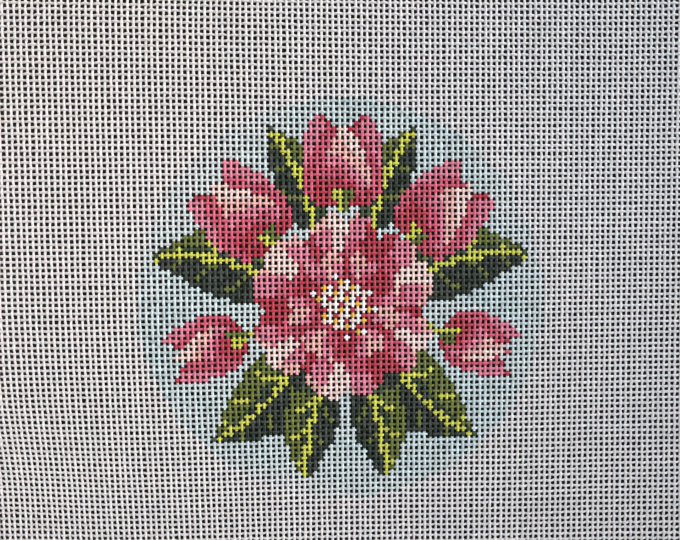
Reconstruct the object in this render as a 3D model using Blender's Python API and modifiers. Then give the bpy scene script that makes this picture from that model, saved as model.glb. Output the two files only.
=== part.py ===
"""Needlepoint canvas panel: one raw-edged square cut of plain-weave cotton canvas, lying on a surface.

The cut is one sheet with no hem, binding or lining. Metres, +Z up, +Y towards the top edge of the
painted round. The origin is on the surface under the middle of the cut. The canvas is stiff with
size and keeps some of its roll, so it doesn't lie quite flat: it rests on its bottom left corner,
its right margin and most of its top edge, while its left side stands clear of the surface, a low
wave crosses its middle, and its bottom right corner curls up.
"""

import math
from dataclasses import dataclass

import bmesh
import bpy

INCH = 0.0254
MESH_COUNT = 18  # threads to the inch, each way
PITCH = INCH / MESH_COUNT  # from one thread to the next
CUT_THREADS = 144  # threads in each side of the square cut
SIDE = CUT_THREADS * PITCH
EDGE = SIDE / 2
THICKNESS = 0.0010  # two threads deep, where one crosses the other

CELL_THREADS = 6  # threads under each square of the sheet's grid
CELLS = CUT_THREADS // CELL_THREADS
MARGIN = 2 * CELL_THREADS * PITCH  # depth of the strips that rest flat, at the bottom and the right
FLAT_FROM = EDGE - MARGIN


@dataclass(frozen=True)
class Slope:
    """A smooth step from nothing at one place to the whole at another, along one axis."""

    nothing: float
    whole: float

    def share(self, place):
        """The share reached at a place: a cubic step, level at both ends."""
        way = (place - self.nothing) / (self.whole - self.nothing)
        way = min(max(way, 0.0), 1.0)
        return way * way * (3 - 2 * way)


LIFT_HEIGHT = 0.0054  # of the left side's underside
LIFT_ACROSS = Slope(nothing=FLAT_FROM, whole=-0.088)
LIFT_ALONG = Slope(nothing=-FLAT_FROM, whole=0.002)

SETTLE_ALONG = Slope(nothing=0.066, whole=EDGE)  # the top edge comes back down to the surface,
SETTLE_ACROSS = Slope(nothing=-0.090, whole=-0.030)  # all but its left end

WAVE_HEIGHT = 0.0005  # above and below the lift
WAVE_LENGTH = 0.097
WAVE_CREST = 0.048  # right of the middle
WAVE_FADE = Slope(nothing=FLAT_FROM, whole=FLAT_FROM - 0.050)  # from the margins inwards

CURL_HEIGHT = 0.0034  # of the bottom right corner
CURL_START = 0.042  # from the middle, along the corner's diagonal
CORNER = EDGE * math.sqrt(2)

CANVAS_COLOUR = (0.74, 0.70, 0.67, 1.0)
CANVAS_ROUGHNESS = 0.85


def clear_objects():
    """Removes what the scene starts with."""
    for old in list(bpy.data.objects):
        bpy.data.objects.remove(old, do_unlink=True)


def lift_height(x, y):
    """Height of the raised left side, which settles again towards the top edge."""
    lift = LIFT_HEIGHT * LIFT_ACROSS.share(x) * LIFT_ALONG.share(y)
    return lift * (1 - SETTLE_ALONG.share(y) * SETTLE_ACROSS.share(x))


def wave_height(x, y):
    """Height of the wave: a cosine along X that dies out before the margins."""
    crest = math.cos(2 * math.pi * (x - WAVE_CREST) / WAVE_LENGTH)
    return WAVE_HEIGHT * crest * WAVE_FADE.share(abs(x)) * WAVE_FADE.share(abs(y))


def curl_height(x, y):
    """Height of the corner's curl: it grows with the square of the way past its start."""
    way = ((x - y) / math.sqrt(2) - CURL_START) / (CORNER - CURL_START)
    return CURL_HEIGHT * max(0.0, way) ** 2


def underside_height(x, y):
    """Height of the sheet's underside above the surface that it lies on."""
    return lift_height(x, y) + wave_height(x, y) + curl_height(x, y)


def canvas_material():
    """Matt, sized white cotton."""
    material = bpy.data.materials.new("canvas")
    material.use_nodes = True
    shader = material.node_tree.nodes["Principled BSDF"]
    shader.inputs["Base Color"].default_value = CANVAS_COLOUR
    shader.inputs["Roughness"].default_value = CANVAS_ROUGHNESS
    shader.inputs["Metallic"].default_value = 0.0
    return material


def build_canvas(collection):
    """The sheet: a grid of squares lifted to the underside's heights, then thickened upwards."""
    mesh = bpy.data.meshes.new("canvas")
    sheet = bmesh.new()
    bmesh.ops.create_grid(sheet, x_segments=CELLS, y_segments=CELLS, size=EDGE)
    for vertex in sheet.verts:
        vertex.co.z = underside_height(vertex.co.x, vertex.co.y)
    sheet.to_mesh(mesh)
    sheet.free()

    canvas = bpy.data.objects.new("canvas", mesh)
    collection.objects.link(canvas)
    thicken = canvas.modifiers.new("thickness", "SOLIDIFY")
    thicken.thickness = THICKNESS
    thicken.offset = 1.0
    mesh.materials.append(canvas_material())
    mesh.shade_smooth()
    mesh.set_sharp_from_angle(angle=math.radians(30))
    return canvas


def main():
    clear_objects()
    panel = bpy.data.collections.new("needlepoint_canvas_panel")
    bpy.context.scene.collection.children.link(panel)
    build_canvas(panel)


main()
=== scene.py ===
"""Looks of a needlepoint canvas panel: the open weave thread by thread, and the painted round.

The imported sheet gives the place, the size and the relief. Here it becomes 144 warp and 144 weft threads that
cross over and under each other, with the colour of the painted round on the threads that it covers.
Metres, +Z up, +X to the right and +Y to the top edge of the round.
"""

from __future__ import annotations

import logging
import math
from dataclasses import dataclass, field
from enum import Enum
from functools import cached_property

import bpy
import numpy as np
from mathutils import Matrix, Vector


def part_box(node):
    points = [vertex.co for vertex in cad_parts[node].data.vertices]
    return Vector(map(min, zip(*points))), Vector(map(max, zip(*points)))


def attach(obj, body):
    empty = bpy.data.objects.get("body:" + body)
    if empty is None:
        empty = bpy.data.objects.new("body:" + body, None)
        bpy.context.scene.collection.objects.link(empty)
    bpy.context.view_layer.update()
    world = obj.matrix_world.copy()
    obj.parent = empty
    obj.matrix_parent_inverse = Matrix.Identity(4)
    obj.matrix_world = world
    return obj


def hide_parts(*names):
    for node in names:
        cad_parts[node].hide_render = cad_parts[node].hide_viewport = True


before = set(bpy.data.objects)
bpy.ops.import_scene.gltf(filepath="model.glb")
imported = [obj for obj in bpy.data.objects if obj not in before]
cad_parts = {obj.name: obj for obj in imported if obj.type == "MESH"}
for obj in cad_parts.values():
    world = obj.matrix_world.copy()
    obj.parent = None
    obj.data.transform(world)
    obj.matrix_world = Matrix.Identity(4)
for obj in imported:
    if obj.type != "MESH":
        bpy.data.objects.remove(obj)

LOG = logging.getLogger("needlepoint_canvas")

SHEET_NODE = "canvas"
BODY = "root"
MM = 0.001

CUT_THREADS = 144
LOW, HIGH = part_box(SHEET_NODE)
SIDE = HIGH.x - LOW.x
EDGE = SIDE / 2
PITCH = SIDE / CUT_THREADS
SHEET_THICKNESS = 0.0010

PHOTO_WIDTH = 680
FOCAL_PIXELS = 540

Colour = tuple[float, float, float]


def smooth_step(place: np.ndarray, nothing: float, whole: float) -> np.ndarray:
    """A cubic step from 0 at one place to 1 at another: 3w^2 - 2w^3 of the way w between them.

    Args:
        place: Where to read the step.
        nothing: The place up to which it is 0.
        whole: The place from which it is 1.

    Returns:
        The step at each place.
    """
    way = np.clip((place - nothing) / (whole - nothing), 0.0, 1.0)
    return way * way * (3 - 2 * way)


def linear(colour: Colour) -> np.ndarray:
    """Turns a display colour of 0 to 255 into the linear light that shaders use.

    Args:
        colour: Red, green and blue as they look on a screen.

    Returns:
        The three linear values, by the sRGB curve.
    """
    shown = np.asarray(colour, float) / 255
    return np.where(shown <= 0.04045, shown / 12.92, ((shown + 0.055) / 1.055) ** 2.4)


# ------------------------------------------------------------------------------ the sheet's form


@dataclass(frozen=True)
class SheetRelief:
    """The height of the sheet's underside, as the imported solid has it."""

    margin: float = 12 * PITCH
    lift: float = 0.0054
    lift_whole_x: float = -0.088
    lift_whole_y: float = 0.002
    settle_from_y: float = 0.066
    settle_from_x: float = -0.090
    settle_whole_x: float = -0.030
    wave: float = 0.0005
    wave_length: float = 0.097
    wave_crest: float = 0.048
    wave_fade: float = 0.050
    curl: float = 0.0034
    curl_start: float = 0.042

    def underside(self, x: np.ndarray, y: np.ndarray) -> np.ndarray:
        """Adds the raised left side, the wave across the middle and the bottom right corner's curl.

        The lift is a smooth step across times one along, less where the top edge settles. The wave is a
        cosine along X inside smooth steps. The curl is the square of the way past its start on the diagonal.

        Args:
            x: Places across the sheet.
            y: Places along it.

        Returns:
            The height above the surface that the sheet lies on.
        """
        flat_from = EDGE - self.margin
        lift = self.lift * smooth_step(x, flat_from, self.lift_whole_x)
        lift = lift * smooth_step(y, -flat_from, self.lift_whole_y)
        settled = smooth_step(y, self.settle_from_y, EDGE)
        lift = lift * (1 - settled * smooth_step(x, self.settle_from_x, self.settle_whole_x))
        inner = flat_from - self.wave_fade
        fade = smooth_step(np.abs(x), flat_from, inner) * smooth_step(np.abs(y), flat_from, inner)
        wave = self.wave * np.cos(2 * np.pi * (x - self.wave_crest) / self.wave_length) * fade
        diagonal = (x - y) / math.sqrt(2)
        way = (diagonal - self.curl_start) / (EDGE * math.sqrt(2) - self.curl_start)
        return lift + wave + self.curl * np.maximum(way, 0.0) ** 2


# ------------------------------------------------------------------------------ the painted round


class Paint(Enum):
    """The colours of the round, as they look on the canvas in daylight."""

    GROUND_BLUE = (199, 212, 210)
    BLUSH = (246, 214, 203)
    SALMON = (238, 178, 168)
    PINK = (224, 126, 146)
    ROSE = (208, 82, 106)
    CRIMSON = (186, 42, 64)
    DARK_GREEN = (27, 44, 28)
    LEAF_GREEN = (50, 70, 30)
    OLIVE = (102, 112, 32)
    LIME = (206, 206, 66)
    BARK = (150, 96, 52)
    GOLD = (236, 180, 44)
    CHALK = (246, 241, 236)


@dataclass
class Chart:
    """The round as a chart of crossings: what is painted on each, and how thickly."""

    across: int = 72
    colour: np.ndarray = field(init=False)
    film: np.ndarray = field(init=False)

    def __post_init__(self) -> None:
        """Starts with bare crossings."""
        self.colour = np.zeros((self.across, self.across, 3))
        self.film = np.zeros((self.across, self.across))

    @cached_property
    def places(self) -> tuple[np.ndarray, np.ndarray]:
        """Each crossing's place in threads from the middle, to the right and to the top."""
        steps = np.arange(self.across) - (self.across - 1) / 2
        return np.meshgrid(steps, steps, indexing="ij")

    @cached_property
    def round_cells(self) -> np.ndarray:
        """The crossings inside the round."""
        s, t = self.places
        return s * s + t * t <= (self.across / 2) ** 2

    def lay(self, cells: np.ndarray, paint: Paint, film: float | np.ndarray = 1.0) -> None:
        """Paints some crossings, over what is there.

        Args:
            cells: Which crossings.
            paint: The colour.
            film: The share of the cotton that it hides, alike everywhere or for each crossing.
        """
        inside = cells & self.round_cells
        self.colour[inside] = linear(paint.value)
        self.film[inside] = np.broadcast_to(film, inside.shape)[inside]


def turned(chart: Chart, at: tuple[float, float], degrees: float) -> tuple[np.ndarray, np.ndarray]:
    """The chart's places seen from a point and turned, so that the first runs along the given direction.

    Args:
        chart: The chart.
        at: The point, in threads from the middle.
        degrees: The direction, anticlockwise from the right.

    Returns:
        The distance along the direction and the distance to its left, in threads.
    """
    s, t = chart.places
    c, n = math.cos(math.radians(degrees)), math.sin(math.radians(degrees))
    ds, dt = s - at[0], t - at[1]
    return ds * c + dt * n, dt * c - ds * n


@dataclass(frozen=True)
class Petal:
    """One petal: pointed at its base, widest past the middle, with a shallow notch at its tip."""

    base: tuple[float, float]
    degrees: float
    length: float
    width: float
    notch: float = 0.10
    tones: tuple[Paint, ...] = (Paint.CRIMSON, Paint.ROSE, Paint.PINK, Paint.SALMON, Paint.BLUSH)
    shaded_side: int = 1
    base_gap: float = 0.02
    widest_power: float = 0.62
    fullness: float = 0.75
    least_half: float = 0.01
    notch_slope: float = 1.6
    tone_rise: float = 1.25
    tone_lean: float = 0.22
    tone_bow: float = 0.10
    bow_turn: float = 2.4
    tone_steps: tuple[float, ...] = (0.30, 0.46, 0.62, 0.88)
    fold_beside: float = 0.74
    fold_from: float = 0.35

    def paint(self, chart: Chart) -> None:
        """Fills the petal from a deep base to a pale tip, with a deep fold along one side.

        At a share a of the length, the half width goes with sin(pi a^widest_power)^fullness. The tone steps
        up with a, more slowly towards the shaded side.

        Args:
            chart: The chart.
        """
        along, left = turned(chart, self.base, self.degrees)
        a = along / self.length
        inside = (a > self.base_gap) & (a < 1)
        half = self.width / 2 * np.sin(np.pi * np.clip(a, 0, 1) ** self.widest_power) ** self.fullness
        b = left / np.maximum(half, self.least_half)
        inside &= (np.abs(b) < 1) & (a < 1 - self.notch * (1 - np.minimum(np.abs(b) * self.notch_slope, 1)))
        lean = b * self.shaded_side
        depth = a * self.tone_rise - self.tone_lean * lean - self.tone_bow * np.cos(self.bow_turn * b)
        tone = np.digitize(depth, self.tone_steps)
        tone = np.where((lean > self.fold_beside) & (a > self.fold_from), 1, tone)
        for step, paint in enumerate(self.tones):
            chart.lay(inside & (tone == step), paint)


@dataclass(frozen=True)
class Leaf:
    """One pointed leaf with a bright rib, dark on one side and olive on the other."""

    base: tuple[float, float]
    degrees: float
    length: float
    width: float
    bend: float = 0.0
    veins: int = 3
    light_side: int = 1
    widest_power: float = 0.8
    green_beside: float = 0.18
    green_from: float = 0.12
    olive_beside: float = 0.34
    olive_from: float = 0.22
    olive_to: float = 0.9
    vein_slant: float = 1.5
    vein_width: float = 0.17
    vein_from: float = 0.2
    vein_to: float = 0.86
    vein_reach: float = 0.80
    rib_half: float = 0.62
    rib_from: float = -0.06
    rib_to: float = 0.94

    def paint(self, chart: Chart) -> None:
        """Fills the leaf, its light side, its rib and its side veins.

        The midline is a parabola of the given bend. At a share a of the length, the half width goes with
        sin(pi a^widest_power). Side veins are slanting lines at even steps.

        Args:
            chart: The chart.
        """
        along, left = turned(chart, self.base, self.degrees)
        a = along / self.length
        off = left - self.bend * 4 * a * (1 - a)
        half = self.width / 2 * np.sin(np.pi * np.clip(a, 0, 1) ** self.widest_power)
        inside = (a > 0) & (a < 1) & (np.abs(off) < half)
        side = off * self.light_side
        chart.lay(inside, Paint.DARK_GREEN)
        chart.lay(inside & (side > self.green_beside * half) & (a > self.green_from), Paint.LEAF_GREEN)
        is_olive = (side > self.olive_beside * half) & (a > self.olive_from) & (a < self.olive_to)
        chart.lay(inside & is_olive, Paint.OLIVE)
        slant = (a * (self.veins + 1) - np.abs(off) / self.width * self.vein_slant) % 1.0
        on_vein = (slant < self.vein_width) & (a > self.vein_from) & (a < self.vein_to)
        on_vein &= np.abs(off) < self.vein_reach * half
        chart.lay(inside & on_vein & (side > 0), Paint.LIME)
        chart.lay(inside & on_vein & (side < 0), Paint.OLIVE)
        chart.lay((np.abs(off) < self.rib_half) & (a > self.rib_from) & (a < self.rib_to), Paint.LIME)


@dataclass(frozen=True)
class Stem:
    """A painted twig along a parabola between two points."""

    start: tuple[float, float]
    end: tuple[float, float]
    bend: float = 0.0
    width: float = 1.3
    tone: Paint = Paint.BARK
    overlap: float = 0.01

    def paint(self, chart: Chart) -> None:
        """Fills the crossings nearer to the midline than half the width.

        Args:
            chart: The chart.
        """
        run, rise = self.end[0] - self.start[0], self.end[1] - self.start[1]
        length = math.hypot(run, rise)
        along, left = turned(chart, self.start, math.degrees(math.atan2(rise, run)))
        a = along / length
        off = left - self.bend * 4 * a * (1 - a)
        chart.lay((np.abs(off) < self.width / 2) & (a > -self.overlap) & (a < 1 + self.overlap), self.tone)


@dataclass(frozen=True)
class Specks:
    """One colour of the eye's specks."""

    paint: Paint
    places: tuple[int, ...]
    past_eye: float = 0.0
    left_out: float = 0.0


@dataclass(frozen=True)
class Rosette:
    """A full, round flower: an outer and an inner ring of notched petals about a speckled eye."""

    middle: tuple[float, float]
    reach: float
    petals: int
    turn: float = 0.0
    inner_share: float = 0.60
    eye: float = 4.4
    repeat: int = 5
    specks: tuple[Specks, ...] = (
        Specks(Paint.CHALK, (2, 4)),
        Specks(Paint.CHALK, (4,), past_eye=1.8, left_out=0.45),
        Specks(Paint.CRIMSON, (0,), past_eye=0.8),
        Specks(Paint.GOLD, (3,), past_eye=1.2, left_out=0.35),
    )
    outer_throat: float = 0.42
    inner_throat: float = 0.34
    uneven: float = 0.06
    uneven_phase: float = 0.7
    shoulder: float = 0.20
    shoulder_power: float = 2.6
    notch: float = 0.09
    notch_width: float = 0.16
    throat_wave: float = 0.05
    band_lean: float = 0.16
    band_bow: float = 0.10
    band_steps: tuple[float, ...] = (0.20, 0.50, 1.05)
    wedge_at: float = 0.22
    wedge_width: float = 0.26
    wedge_from: float = 0.34
    pale_from: float = 0.86
    deep_beside: float = -0.58
    deep_from: float = 0.1
    fold_width: float = 1.5
    fold_to: float = 0.98

    def paint(self, chart: Chart, random: np.random.Generator) -> None:
        """Paints the outer ring, the inner ring turned by half a petal, and the eye of chalk and gold.

        The specks repeat every five threads across, two further on with each thread up, so none touch.

        Args:
            chart: The chart.
            random: Places the specks.
        """
        deep = (Paint.CRIMSON, Paint.ROSE, Paint.PINK)
        self.paint_ring(chart, self.reach, 0.0, self.outer_throat, (*deep, Paint.BLUSH))
        inner = self.reach * self.inner_share
        self.paint_ring(chart, inner, 0.5, self.inner_throat, (*deep, Paint.SALMON))
        far = np.hypot(*turned(chart, self.middle, 0))
        chance = random.random(far.shape)
        along, up = np.indices(far.shape)
        place = (along + 2 * up) % self.repeat
        chart.lay(far < self.eye, Paint.BLUSH)
        for specks in self.specks:
            kept = np.isin(place, specks.places) & (chance >= specks.left_out)
            chart.lay((far < self.eye + specks.past_eye) & kept, specks.paint)

    def paint_ring(
        self, chart: Chart, reach: float, shift: float, inside: float, tones: tuple[Paint, ...]
    ) -> None:
        """Paints one ring of petals in bands from a deep throat to a pale rim, with dark folds between them.

        In a petal, w goes from -1 to 1 across it. Its edge lies at reach (1 - shoulder |w|^shoulder_power),
        less a notch at w = 0. The bands follow the share q of that edge, bent along w, and the fold is where
        |w| nears 1.

        Args:
            chart: The chart.
            reach: The ring's outer radius, in threads.
            shift: How far the ring is turned, in petals.
            inside: The share of the radius at which the petals start.
            tones: The bands' colours, from the throat out.
        """
        along, left = turned(chart, self.middle, self.turn)
        far, angle = np.hypot(along, left), np.arctan2(left, along)
        sway = self.uneven * np.sin(3 * angle + self.uneven_phase)
        share = angle / (2 * np.pi) * self.petals + shift + sway + 0.5
        w = 2 * (share % 1.0) - 1
        petal = np.floor(share).astype(int)
        lean = np.where(petal % 2 == 0, w, -w)
        notch = self.notch * np.exp(-((w / self.notch_width) ** 2))
        q = far / (reach * (1 - self.shoulder * np.abs(w) ** self.shoulder_power - notch))
        inner = inside + self.throat_wave * np.cos(2 * np.pi * w)
        band = (q - inner) / (1 - inner) + self.band_lean * lean - self.band_bow * np.abs(w)
        step = np.digitize(band, self.band_steps)
        for number, paint in enumerate(tones):
            chart.lay((q < 1) & (step == number), paint)
        wedge = (np.abs(lean - self.wedge_at) < self.wedge_width * q) & (band > self.wedge_from)
        chart.lay((q < 1) & wedge, tones[-1])
        chart.lay((q < 1) & (band > self.pale_from) & ~wedge, Paint.SALMON)
        chart.lay((q < 1) & (lean < self.deep_beside) & (band > self.deep_from), tones[0])
        fold = (1 - np.abs(w)) * far < self.fold_width * self.petals / 6
        chart.lay((q < self.fold_to) & fold, Paint.CRIMSON)


@dataclass(frozen=True)
class Tulip:
    """A closed cup of three petals on a stem."""

    base: tuple[float, float]
    degrees: float
    length: float
    width: float
    outer_lean: float = 17.0
    outer_width: float = 0.66
    front_length: float = 0.86
    front_width: float = 0.58
    cup_half: float = 1.1
    cup_flare: float = 0.35
    cup_length: float = 0.17

    def paint(self, chart: Chart) -> None:
        """Paints two outer petals that lean apart, then the pale front one, then the green base.

        Args:
            chart: The chart.
        """
        for lean in (-1, 1):
            Petal(
                base=self.base,
                degrees=self.degrees + lean * self.outer_lean,
                length=self.length,
                width=self.width * self.outer_width,
                notch=0.0,
                tones=(Paint.CRIMSON, Paint.CRIMSON, Paint.ROSE, Paint.ROSE, Paint.PINK),
                shaded_side=-lean,
            ).paint(chart)
        Petal(
            base=self.base,
            degrees=self.degrees,
            length=self.length * self.front_length,
            width=self.width * self.front_width,
            notch=0.0,
            tones=(Paint.CRIMSON, Paint.ROSE, Paint.PINK, Paint.SALMON, Paint.BLUSH),
        ).paint(chart)
        along, left = turned(chart, self.base, self.degrees)
        cup = np.abs(left) < self.cup_half + along * self.cup_flare
        cup &= (along > -1) & (along < self.length * self.cup_length)
        chart.lay(cup, Paint.LIME)
        chart.lay(cup & (left < 0), Paint.OLIVE)


@dataclass(frozen=True)
class PaintedRound:
    """The flower design: a mirrored posy of one full rosette, tulips and leaves, on a pale blue ground."""

    seed: int = 18
    leaves: tuple[tuple[float, float, float, float, float], ...] = (
        (67, 13, 21, 9.5, 1.5),
        (13, 10, 25, 13.0, 2.5),
        (-46, 10, 25, 13.0, -2.5),
        (-78, 13, 21, 10.0, 1.5),
    )
    tulips: tuple[tuple[float, float, float, float], ...] = ((42, 16, 17, 17), (-18, 19, 14, 12))
    crown: Tulip = Tulip(base=(0, 17), degrees=90, length=17, width=17)
    rosette: Rosette = Rosette(middle=(0, -1), reach=17.0, petals=6, turn=90)
    ground_film: float = 0.90
    streak: float = 0.09
    streak_waves: tuple[tuple[float, float, float], ...] = ((0.30, 0.90, 0.0), (0.22, -0.17, 1.0))
    thin_rim: float = 0.45
    thin_from: float = 27.0
    thin_phase: float = 0.6
    uneven_colour: float = 0.07
    uneven_film: float = 0.06

    def draw(self) -> Chart:
        """Paints the ground, then each leaf and tulip with its mirror image, then the middle.

        Leaves and tulips are given by their direction and distance from the middle of the round, their
        length and their width, and leaves by their bend too.

        Returns:
            The finished chart.
        """
        random = np.random.default_rng(self.seed)
        chart = Chart()
        chart.lay(chart.round_cells, Paint.GROUND_BLUE, film=self.brushed(chart))
        for side in (1, -1):
            for angle, start, length, width, bend in self.leaves:
                base, turn = self.mirrored(angle, start, side)
                Stem(start=(0, 0), end=base).paint(chart)
                Leaf(base, turn, length, width, bend=side * bend, light_side=side).paint(chart)
        for side in (1, -1):
            for angle, start, length, width in self.tulips:
                base, turn = self.mirrored(angle, start, side)
                Stem(start=(0, 0), end=base, tone=Paint.LIME).paint(chart)
                Tulip(base, turn, length, width).paint(chart)
        self.crown.paint(chart)
        self.rosette.paint(chart, random)
        self.age(chart, random)
        return chart

    def brushed(self, chart: Chart) -> np.ndarray:
        """How thickly the ground is brushed on: in streaks, and thinner along three stretches of the rim.

        Two sines make the streaks. A smooth step of the radius times a sine of the angle thins the rim.

        Args:
            chart: The chart.

        Returns:
            The film's share at each crossing.
        """
        s, t = chart.places
        streaks = sum(self.streak * np.sin(a * s + b * t + phase) for a, b, phase in self.streak_waves)
        stretches = 0.5 + 0.5 * np.sin(3 * np.arctan2(t, s) + self.thin_phase)
        rim = smooth_step(np.hypot(s, t), self.thin_from, chart.across / 2) * stretches
        return np.clip(self.ground_film + streaks - self.thin_rim * rim, 0.0, 1.0)

    def mirrored(self, angle: float, start: float, side: int) -> tuple[tuple[float, float], float]:
        """The foot of a motif and its direction, on the right side or mirrored to the left."""
        turn = angle if side > 0 else 180 - angle
        return (start * math.cos(math.radians(turn)), start * math.sin(math.radians(turn))), turn

    def age(self, chart: Chart, random: np.random.Generator) -> None:
        """Varies each crossing a little, as a brush does: lighter, darker, thicker, thinner.

        Args:
            chart: The chart.
            random: The brush's unevenness.
        """
        loaded = 1 + self.uneven_colour * random.standard_normal(chart.film.shape)
        chart.colour *= loaded[..., None]
        chart.film *= 1 - self.uneven_film * random.random(chart.film.shape)


# ------------------------------------------------------------------------------ the weave


class Run(Enum):
    """Which way a thread runs: warps along Y, wefts along X."""

    WARP = "warp"
    WEFT = "weft"


@dataclass(frozen=True)
class Lattice:
    """Where the threads cross: an even square lattice, pulled a little out of true."""

    seed: int = 7
    sway: float = 0.034 * MM
    jitter: float = 0.032 * MM
    bow: float = 0.24 * MM
    pull: float = 1.1 * MM
    raised: float = 0.15 * MM
    sway_steps: tuple[tuple[float, float], ...] = ((14, 24), (28, 50), (60, 120))
    bow_deeper: float = 0.8
    bow_deepens: tuple[float, float] = (0.020, 0.075)
    bow_half: float = 0.085
    bow_least: float = -0.5
    pull_comes: tuple[float, float] = (-0.022, -0.046)
    pull_goes: tuple[float, float] = (-0.046, -0.078)
    pull_across: tuple[float, float] = (-0.056, -0.095)
    relief: SheetRelief = SheetRelief()

    def wander(self, random: np.random.Generator) -> np.ndarray:
        """How far each thread lies to one side along its way: slow sines of its own, and a small jitter.

        Args:
            random: Draws the sines' lengths and phases.

        Returns:
            An array of threads by crossings.
        """
        steps = np.arange(CUT_THREADS)
        total = np.zeros((CUT_THREADS, CUT_THREADS))
        for shortest, longest in self.sway_steps:
            wave = random.uniform(shortest, longest, (CUT_THREADS, 1))
            phase = random.uniform(0, 2 * np.pi, (CUT_THREADS, 1))
            total += self.sway * np.sin(2 * np.pi * steps / wave + phase)
        return total + self.jitter * random.standard_normal(total.shape)

    def out_of_true(self, x: np.ndarray, y: np.ndarray) -> tuple[np.ndarray, np.ndarray]:
        """Bows the wefts a little and pulls the lower part of the left side in, as handling has left them.

        The bow is a parabola along X, deeper towards the top. The pull is a smooth step across times one
        that comes on and goes off again along the side, the same to the right as upwards.

        Args:
            x: Even places across the sheet.
            y: Even places along it.

        Returns:
            The same places, out of true.
        """
        deeper = 1 + self.bow_deeper * smooth_step(y, *self.bow_deepens)
        bowed = y - self.bow * deeper * np.maximum(1 - (x / self.bow_half) ** 2, self.bow_least)
        along = smooth_step(y, *self.pull_comes) * (1 - smooth_step(y, *self.pull_goes))
        pulled = self.pull * smooth_step(x, *self.pull_across) * along
        return x + pulled, bowed + pulled

    @cached_property
    def crossings(self) -> np.ndarray:
        """Works out where the threads cross: even places, out of true, each thread with its own wander.

        Returns:
            The middle of each crossing, by warp and weft: X, Y and the height of the sheet's middle.
        """
        random = np.random.default_rng(self.seed)
        even = (np.arange(CUT_THREADS) - (CUT_THREADS - 1) / 2) * PITCH
        x, y = np.meshgrid(even, even, indexing="ij")
        x, y = self.out_of_true(x, y)
        x = x + self.wander(random)
        y = y + self.wander(random).T
        z = self.relief.underside(x, y) + SHEET_THICKNESS / 2 + self.raised
        return np.stack([x, y, z], axis=-1)

    @cached_property
    def warp_on_top(self) -> np.ndarray:
        """+1 where the warp passes over the weft and -1 where it passes under, by warp and weft."""
        i, j = np.indices((CUT_THREADS, CUT_THREADS))
        return np.where((i + j) % 2 == 0, 1.0, -1.0)


RUN_SEEDS = {Run.WARP: 1000, Run.WEFT: 2000}


@dataclass(frozen=True)
class Yarn:
    """A thread's section: a flattened hexagon, broader on its crowns than between them."""

    crown_width: float = 0.63 * MM
    span_width: float = 0.59 * MM
    thickness: float = 0.45 * MM
    crimp: dict = field(default_factory=lambda: {Run.WARP: 0.15 * MM, Run.WEFT: 0.30 * MM})
    sides: int = 6
    slub: float = 0.08
    uneven_crimp: float = 0.14
    cut_ends: tuple[float, float] = (-0.5, 0.6)


@dataclass(frozen=True)
class Dyeing:
    """The cotton's own colour, how far paint soaks round a thread's six sides, and how both vary."""

    cotton: Colour = (226, 219, 215)
    soak: tuple[float, ...] = (0.96, 1.0, 0.96, 0.70, 0.35, 0.70)
    soaks_below: float = 0.9
    uneven_soak: float = 0.30
    uneven_thread: float = 0.03
    uneven_step: float = 0.045


@dataclass(frozen=True)
class MapLayout:
    """How the threads lie on the map: the caps' strip and size, and the gap between threads."""

    rim: float = 0.004
    gap: float = 0.5
    cap: float = 0.4
    turns_apart: int = 3


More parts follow.
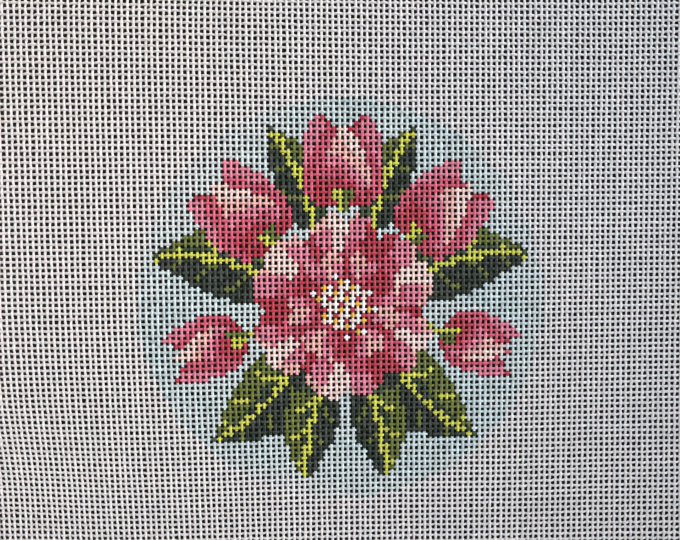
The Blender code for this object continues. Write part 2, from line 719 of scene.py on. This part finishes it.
@dataclass
class ThreadBundle:
    """A group of neighbouring threads of one run, as one mesh of closed tubes."""

    name: str
    run: Run
    first: int
    count: int
    lattice: Lattice
    yarn: Yarn
    chart: Chart
    dyeing: Dyeing = Dyeing()
    layout: MapLayout = MapLayout()

    @property
    def rings(self) -> int:
        """Rings along a thread: one at each crossing, one between each pair, and one at each end."""
        return 2 * CUT_THREADS + 1

    def by_thread(self, grid: np.ndarray) -> np.ndarray:
        """Picks this bundle's threads from an array by warp and weft, with the crossings along each."""
        whole = grid if self.run is Run.WARP else np.swapaxes(grid, 0, 1)
        return whole[self.first : self.first + self.count]

    def centrelines(self, random: np.random.Generator) -> np.ndarray:
        """The midline of every thread: through its crossings, with the points between halfway.

        A crossing lies above or below the sheet's middle by the crimp. Each end goes on for half a step,
        more or less, as the shears left it.

        Args:
            random: Draws the crimp's unevenness and the cut ends.

        Returns:
            An array of threads by rings by 3.
        """
        points = self.by_thread(self.lattice.crossings)
        over = self.by_thread(self.lattice.warp_on_top)
        over = over if self.run is Run.WARP else -over
        uneven = 1 + self.yarn.uneven_crimp * random.standard_normal(over.shape)
        crimp = self.yarn.crimp[self.run] * uneven
        lines = np.zeros((self.count, self.rings, 3))
        lines[:, 1::2] = points
        lines[:, 2:-1:2] = (points[:, 1:] + points[:, :-1]) / 2
        lines[:, 1::2, 2] += over * crimp
        spare = 1 + random.uniform(*self.yarn.cut_ends, (2, self.count, 1))
        lines[:, 0] = points[:, 0] - spare[0] * (points[:, 1] - points[:, 0]) / 2
        lines[:, -1] = points[:, -1] + spare[1] * (points[:, -1] - points[:, -2]) / 2
        return lines

    def vertices(self, random: np.random.Generator) -> np.ndarray:
        """Carries the yarn's section along each midline: cosines across and sines up, about its centre.

        Args:
            random: Draws the yarn's thick and thin places.

        Returns:
            An array of threads by rings by sides by 3.
        """
        lines = self.centrelines(random)
        across = Vector((-1, 0, 0)) if self.run is Run.WARP else Vector((0, 1, 0))
        width = np.full(self.rings, self.yarn.span_width)
        width[1::2] = self.yarn.crown_width
        slub = 1 + self.yarn.slub * random.standard_normal((self.count, self.rings))
        turn = np.arange(self.yarn.sides) * 2 * np.pi / self.yarn.sides
        side = np.cos(turn) * (width * slub)[..., None] / 2
        rise = np.sin(turn) / math.sin(math.pi / 3) * self.yarn.thickness / 2
        section = side[..., None] * np.array(across)
        section[..., 2] += rise * slub[..., None] ** 0.5
        return lines[:, :, None] + section

    def build(self) -> bpy.types.Object:
        """Makes the mesh: a quad for each side of each step, and a cap at each cut end.

        Returns:
            The bundle's object.
        """
        random = np.random.default_rng(self.first + RUN_SEEDS[self.run])
        points = self.vertices(random)
        threads, rings, sides = self.count, self.rings, self.yarn.sides
        index = np.arange(threads * rings * sides).reshape(threads, rings, sides)
        beside = np.roll(index, -1, axis=2)
        quads = np.stack([index[:, :-1], beside[:, :-1], beside[:, 1:], index[:, 1:]], axis=-1)
        caps = np.concatenate([index[:, 0, ::-1], index[:, -1]])
        corners = np.concatenate([quads.ravel(), caps.ravel()])
        sizes = np.concatenate([np.full(quads.size // 4, 4), np.full(len(caps), sides)])
        mesh = bpy.data.meshes.new(self.name)
        mesh.vertices.add(points.size // 3)
        mesh.vertices.foreach_set("co", points.ravel().astype(np.float32))
        mesh.loops.add(len(corners))
        mesh.loops.foreach_set("vertex_index", corners.astype(np.int32))
        mesh.polygons.add(len(sizes))
        mesh.polygons.foreach_set("loop_start", (np.cumsum(sizes) - sizes).astype(np.int32))
        mesh.update(calc_edges=True)
        mesh.shade_smooth()
        self.dye(mesh, random)
        self.unroll(mesh)
        mesh.validate()
        bundle = bpy.data.objects.new(self.name, mesh)
        bpy.context.scene.collection.objects.link(bundle)
        return bundle

    def dye(self, mesh: bpy.types.Mesh, random: np.random.Generator) -> None:
        """Writes each face's colour and paint film: its crossing's paint on top, less of it underneath.

        Args:
            mesh: The bundle's mesh.
            random: Draws how far the paint soaks round each crossing.
        """
        start = (CUT_THREADS - self.chart.across) // 2
        inner = slice(start, start + self.chart.across)
        colour = np.zeros((CUT_THREADS, CUT_THREADS, 3))
        film = np.zeros((CUT_THREADS, CUT_THREADS))
        colour[inner, inner], film[inner, inner] = self.chart.colour, self.chart.film
        colour = np.repeat(self.by_thread(colour), 2, axis=1)[:, :, None]
        film = np.repeat(self.by_thread(film), 2, axis=1)[:, :, None]
        dyeing = self.dyeing
        soak = np.array(dyeing.soak)
        lost = dyeing.uneven_soak * random.random(film.shape) * (soak < dyeing.soaks_below)
        film = film * (soak[None, None] * (1 - lost))
        by_thread = 1 + dyeing.uneven_thread * random.standard_normal((self.count, 1, 1, 1))
        cotton = linear(dyeing.cotton) * by_thread
        shown = cotton * (1 - film[..., None]) + colour * film[..., None]
        by_step = 1 + dyeing.uneven_step * random.standard_normal((self.count, self.rings - 1, 1, 1))
        shown = shown * by_step
        ends = cotton[:, 0, 0]
        faces = np.concatenate([shown.reshape(-1, 3), ends, ends]).clip(0, 1)
        shade = np.concatenate([faces, np.ones((len(faces), 1))], axis=1)
        mesh.attributes.new("dye", "FLOAT_COLOR", "FACE").data.foreach_set("color", shade.ravel())
        films = np.concatenate([film.ravel(), np.zeros(2 * self.count)])
        mesh.attributes.new("film", "FLOAT", "FACE").data.foreach_set("value", films)

    def unroll(self, mesh: bpy.types.Mesh) -> None:
        """Lays out the map: threads one above the other, each unrolled along its length.

        "OFBake" fills the unit square. "yarn" counts steps along the thread and turns round it.

        Args:
            mesh: The bundle's mesh.
        """
        steps, sides = self.rings - 1, self.yarn.sides
        t, k, s = np.meshgrid(np.arange(self.count), np.arange(steps), np.arange(sides), indexing="ij")
        k4 = k[..., None] + np.array([0, 0, 1, 1])
        s4 = s[..., None] + np.array([0, 1, 1, 0])
        rim, gap = self.layout.rim, self.layout.gap
        u = rim + (1 - 2 * rim) * k4 / steps
        v = (t[..., None] + (s4 + gap / 2) / (sides + gap)) / self.count
        turn = np.arange(sides) * 2 * np.pi / sides
        cap = np.stack([np.cos(turn), np.sin(turn)], axis=-1)
        rows = (np.arange(self.count) + 0.5) / self.count
        low = np.stack([np.full(self.count, rim / 2), rows], axis=-1)
        high = low + np.array([1 - rim, 0])
        size = np.array([rim * self.layout.cap, self.layout.cap / self.count])
        ends = np.concatenate([low[:, None] + cap[::-1] * size, high[:, None] + cap * size])
        tidy = np.concatenate([np.stack([u, v], axis=-1).reshape(-1, 2), ends.reshape(-1, 2)])
        mesh.uv_layers.new(name="OFBake").uv.foreach_set("vector", tidy.astype(np.float32).ravel())
        turns = s4 / sides + t[..., None] * self.layout.turns_apart
        yarn = np.stack([k4 / 2, turns], axis=-1).reshape(-1, 2)
        yarn = np.concatenate([yarn, np.zeros((ends.size // 2, 2))])
        mesh.uv_layers.new(name="yarn").uv.foreach_set("vector", yarn.astype(np.float32).ravel())


# ------------------------------------------------------------------------------ finishes


@dataclass(frozen=True)
class Nodes:
    """Short ways to add and join a material's nodes."""

    tree: bpy.types.NodeTree

    def add(self, kind: str, **settings: object) -> bpy.types.Node:
        """Adds a node and sets its properties.

        Args:
            kind: The node's type.
            **settings: The properties by name.

        Returns:
            The node.
        """
        node = self.tree.nodes.new(kind)
        for name, value in settings.items():
            setattr(node, name, value)
        return node

    def math(self, operation: str, *values: object) -> bpy.types.NodeSocket:
        """Adds a Math node.

        Args:
            operation: What it works out.
            *values: Sockets or numbers, in the order of its inputs.

        Returns:
            The socket of its result.
        """
        node = self.add("ShaderNodeMath", operation=operation)
        for socket, value in zip(node.inputs, values):
            self.give(socket, value)
        return node.outputs[0]

    def give(self, socket: bpy.types.NodeSocket, value: object) -> None:
        """Links an input to a socket, or sets its number.

        Args:
            socket: The input.
            value: The socket or number to give it.
        """
        if isinstance(value, bpy.types.NodeSocket):
            self.tree.links.new(value, socket)
        else:
            socket.default_value = value


@dataclass(frozen=True)
class SizedCotton:
    """Sized cotton thread, bare or under a film of matt acrylic paint."""

    bare_roughness: float = 0.78
    painted_roughness: float = 0.50
    strands: int = 3
    twist: float = 0.55
    bump_depth: float = 0.05 * MM
    bump_strength: float = 0.6
    specular: float = 0.25
    mottle_scale: float = 900.0
    mottle_detail: float = 3.0
    mottle_depth: float = 0.16
    mottle_dark: float = 0.92

    def make(self) -> bpy.types.Material:
        """Builds the material: the dyed face colour with a fibrous mottle, and the twist as bump.

        The twist is a sine of the strands round the thread plus a share of the steps along it.

        Returns:
            The material.
        """
        material = bpy.data.materials.new("sized_cotton")
        material.use_nodes = True
        nodes = Nodes(material.node_tree)
        shader = material.node_tree.nodes["Principled BSDF"]
        dye = nodes.add("ShaderNodeAttribute", attribute_name="dye")
        film = nodes.add("ShaderNodeAttribute", attribute_name="film")
        place = nodes.add("ShaderNodeTexCoord").outputs["Object"]
        mottle = nodes.add("ShaderNodeTexNoise")
        nodes.give(mottle.inputs["Vector"], place)
        mottle.inputs["Scale"].default_value = self.mottle_scale
        mottle.inputs["Detail"].default_value = self.mottle_detail
        bright = nodes.math("MULTIPLY_ADD", mottle.outputs["Fac"], self.mottle_depth, self.mottle_dark)
        tint = nodes.add("ShaderNodeVectorMath", operation="SCALE")
        nodes.give(tint.inputs[0], dye.outputs["Color"])
        nodes.give(tint.inputs["Scale"], bright)
        nodes.give(shader.inputs["Base Color"], tint.outputs[0])
        smoother = self.painted_roughness - self.bare_roughness
        rough = nodes.math("MULTIPLY_ADD", film.outputs["Fac"], smoother, self.bare_roughness)
        nodes.give(shader.inputs["Roughness"], rough)
        shader.inputs["Specular IOR Level"].default_value = self.specular
        yarn = nodes.add("ShaderNodeUVMap", uv_map="yarn")
        parts = nodes.add("ShaderNodeSeparateXYZ")
        nodes.give(parts.inputs[0], yarn.outputs[0])
        full_turn = 2 * math.pi
        around = nodes.math("MULTIPLY", parts.outputs["Y"], full_turn * self.strands)
        pitch = full_turn * self.twist * self.strands
        phase = nodes.math("MULTIPLY_ADD", parts.outputs["X"], pitch, around)
        ridge = nodes.math("SINE", phase)
        bump = nodes.add("ShaderNodeBump")
        bump.inputs["Distance"].default_value = self.bump_depth
        bump.inputs["Strength"].default_value = self.bump_strength
        nodes.give(bump.inputs["Height"], ridge)
        nodes.give(shader.inputs["Normal"], bump.outputs[0])
        return material


@dataclass(frozen=True)
class PaleFloorWithPaintedShade:
    """The pale surface under the canvas, with painted shade: its colour is darkened where the weave closes it
    in below.
    """

    size: float = 3.0
    colour: Colour = (0.55, 0.55, 0.55)
    shade_reach: float = 0.020
    shade_power: float = 4.0
    shade_samples: int = 8
    roughness: float = 0.8

    def build(self) -> bpy.types.Object:
        """Makes the floor, which isn't part of the object.

        Painted shade: its colour is multiplied by a power of how open the sky is above it, within the shade's
        reach, so it darkens under the canvas.

        Returns:
            The floor's object.
        """
        half = self.size / 2
        mesh = bpy.data.meshes.new("floor")
        mesh.from_pydata(
            [(-half, -half, 0), (half, -half, 0), (half, half, 0), (-half, half, 0)], [], [(0, 1, 2, 3)]
        )
        material = bpy.data.materials.new("pale_floor_painted_shade")
        material.use_nodes = True
        nodes = Nodes(material.node_tree)
        shader = material.node_tree.nodes["Principled BSDF"]
        shader.inputs["Roughness"].default_value = self.roughness
        # painted shade: the floor's colour is darkened by a power of its ambient occlusion
        open_sky = nodes.add("ShaderNodeAmbientOcclusion", samples=self.shade_samples)
        open_sky.inputs["Distance"].default_value = self.shade_reach
        tint = nodes.add("ShaderNodeVectorMath", operation="SCALE")
        tint.inputs[0].default_value = self.colour
        nodes.give(tint.inputs["Scale"], nodes.math("POWER", open_sky.outputs["AO"], self.shade_power))
        nodes.give(shader.inputs["Base Color"], tint.outputs[0])
        mesh.materials.append(material)
        floor = bpy.data.objects.new("floor", mesh)
        bpy.context.scene.collection.objects.link(floor)
        return floor


@dataclass(frozen=True)
class SoftLight:
    """One square lamp with a grid in front, which narrows its spread.

    It is placed by its turn (anticlockwise from the right), height angle and distance from the middle of the
    canvas, and points at its aim.
    """

    name: str
    turn: float
    height: float
    distance: float
    size: float
    power: float
    colour: Colour
    spread: float = 80.0
    aim: tuple[float, float] = (0.0, 0.0)

    def build(self) -> None:
        """Adds the lamp, turned towards its aim on the canvas."""
        turn, height = math.radians(self.turn), math.radians(self.height)
        level = math.cos(height)
        away = Vector((level * math.cos(turn), level * math.sin(turn), math.sin(height)))
        data = bpy.data.lights.new(self.name, "AREA")
        data.shape = "SQUARE"
        data.size = self.size
        data.spread = math.radians(self.spread)
        data.energy = self.power
        data.color = self.colour
        lamp = bpy.data.objects.new(self.name, data)
        lamp.location = away * self.distance
        back = lamp.location - Vector((*self.aim, 0.0))
        lamp.rotation_euler = back.to_track_quat("Z", "Y").to_euler()
        bpy.context.scene.collection.objects.link(lamp)


@dataclass(frozen=True)
class Studio:
    """The lamps, the dim air round them and how the picture is exposed."""

    air: Colour = (0.12, 0.14, 0.18)
    lamps: tuple[SoftLight, ...] = (
        SoftLight("left", 180, 21, 0.45, 0.25, 0.41, (0.83, 0.90, 1.0)),
        SoftLight("upper_left", 135, 35, 0.45, 0.25, 0.080, (1.0, 0.58, 0.22), 46, (-0.09, 0.08)),
        SoftLight("right", 0, 21, 1.30, 0.65, 2.25, (0.95, 0.95, 0.93), 44),
        SoftLight("upper_right", 50, 30, 0.45, 0.25, 0.138, (0.40, 0.70, 1.0), 46, (0.09, 0.08)),
    )

    def build(self) -> None:
        """Sets the surroundings and adds the lamps."""
        world = bpy.data.worlds.new("studio")
        world.use_nodes = True
        world.node_tree.nodes["Background"].inputs["Color"].default_value = (*self.air, 1)
        bpy.context.scene.world = world
        bpy.context.scene.view_settings.view_transform = "Standard"
        for lamp in self.lamps:
            lamp.build()


@dataclass(frozen=True)
class PhotoCamera:
    """The camera, held over the canvas as the photo shows it."""

    place: tuple[float, float, float] = (-0.00253, 0.01330, 0.13833)
    turn_degrees: tuple[float, float, float] = (-2.351, -0.693, -0.570)
    focal_share: float = FOCAL_PIXELS / PHOTO_WIDTH
    sensor: float = 36.0
    nearest: float = 0.005

    def build(self) -> None:
        """Adds the camera and makes it the scene's own."""
        data = bpy.data.cameras.new("camera")
        data.sensor_width = self.sensor
        data.lens = self.focal_share * self.sensor
        data.clip_start = self.nearest
        camera = bpy.data.objects.new("camera", data)
        camera.location = self.place
        camera.rotation_euler = [math.radians(a) for a in self.turn_degrees]
        bpy.context.scene.collection.objects.link(camera)
        bpy.context.scene.camera = camera


# ------------------------------------------------------------------------------ the whole panel


@dataclass
class CanvasPanel:
    """The cut of canvas: three bundles of warps and three of wefts.
    """

    covered: float = 0.62
    bundle_names: dict = field(
        default_factory=lambda: {
            Run.WARP: ("warp_threads_left", "warp_threads_middle", "warp_threads_right"),
            Run.WEFT: ("weft_threads_bottom", "weft_threads_middle", "weft_threads_top"),
        }
    )

    def build(self) -> list[bpy.types.Object]:
        """Weaves and paints every bundle, and attaches it to its body.

        Returns:
            The bundles' objects.
        """
        lattice, yarn, chart = Lattice(), Yarn(), PaintedRound().draw()
        cotton = SizedCotton().make()
        made = []
        for run, names in self.bundle_names.items():
            share = CUT_THREADS // len(names)
            for number, name in enumerate(names):
                bundle = ThreadBundle(name, run, number * share, share, lattice, yarn, chart).build()
                bundle.data.materials.append(cotton)
                self.declare(bundle)
                LOG.info("%s: %d threads, %d faces", name, share, len(bundle.data.polygons))
                made.append(bundle)
        return made

    def declare(self, bundle: bpy.types.Object) -> None:
        """Attaches the bundle to the body it rides on, and hides the imported sheet.

        Args:
            bundle: The bundle's object.
        """
        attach(bundle, BODY)
        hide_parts(SHEET_NODE)


def main() -> None:
    """Builds the stage and the panel."""
    logging.basicConfig(level=logging.INFO, format="%(name)s: %(message)s")
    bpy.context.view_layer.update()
    PhotoCamera().build()
    Studio().build()
    PaleFloorWithPaintedShade().build()
    CanvasPanel().build()


if __name__ == "__main__":
    main()
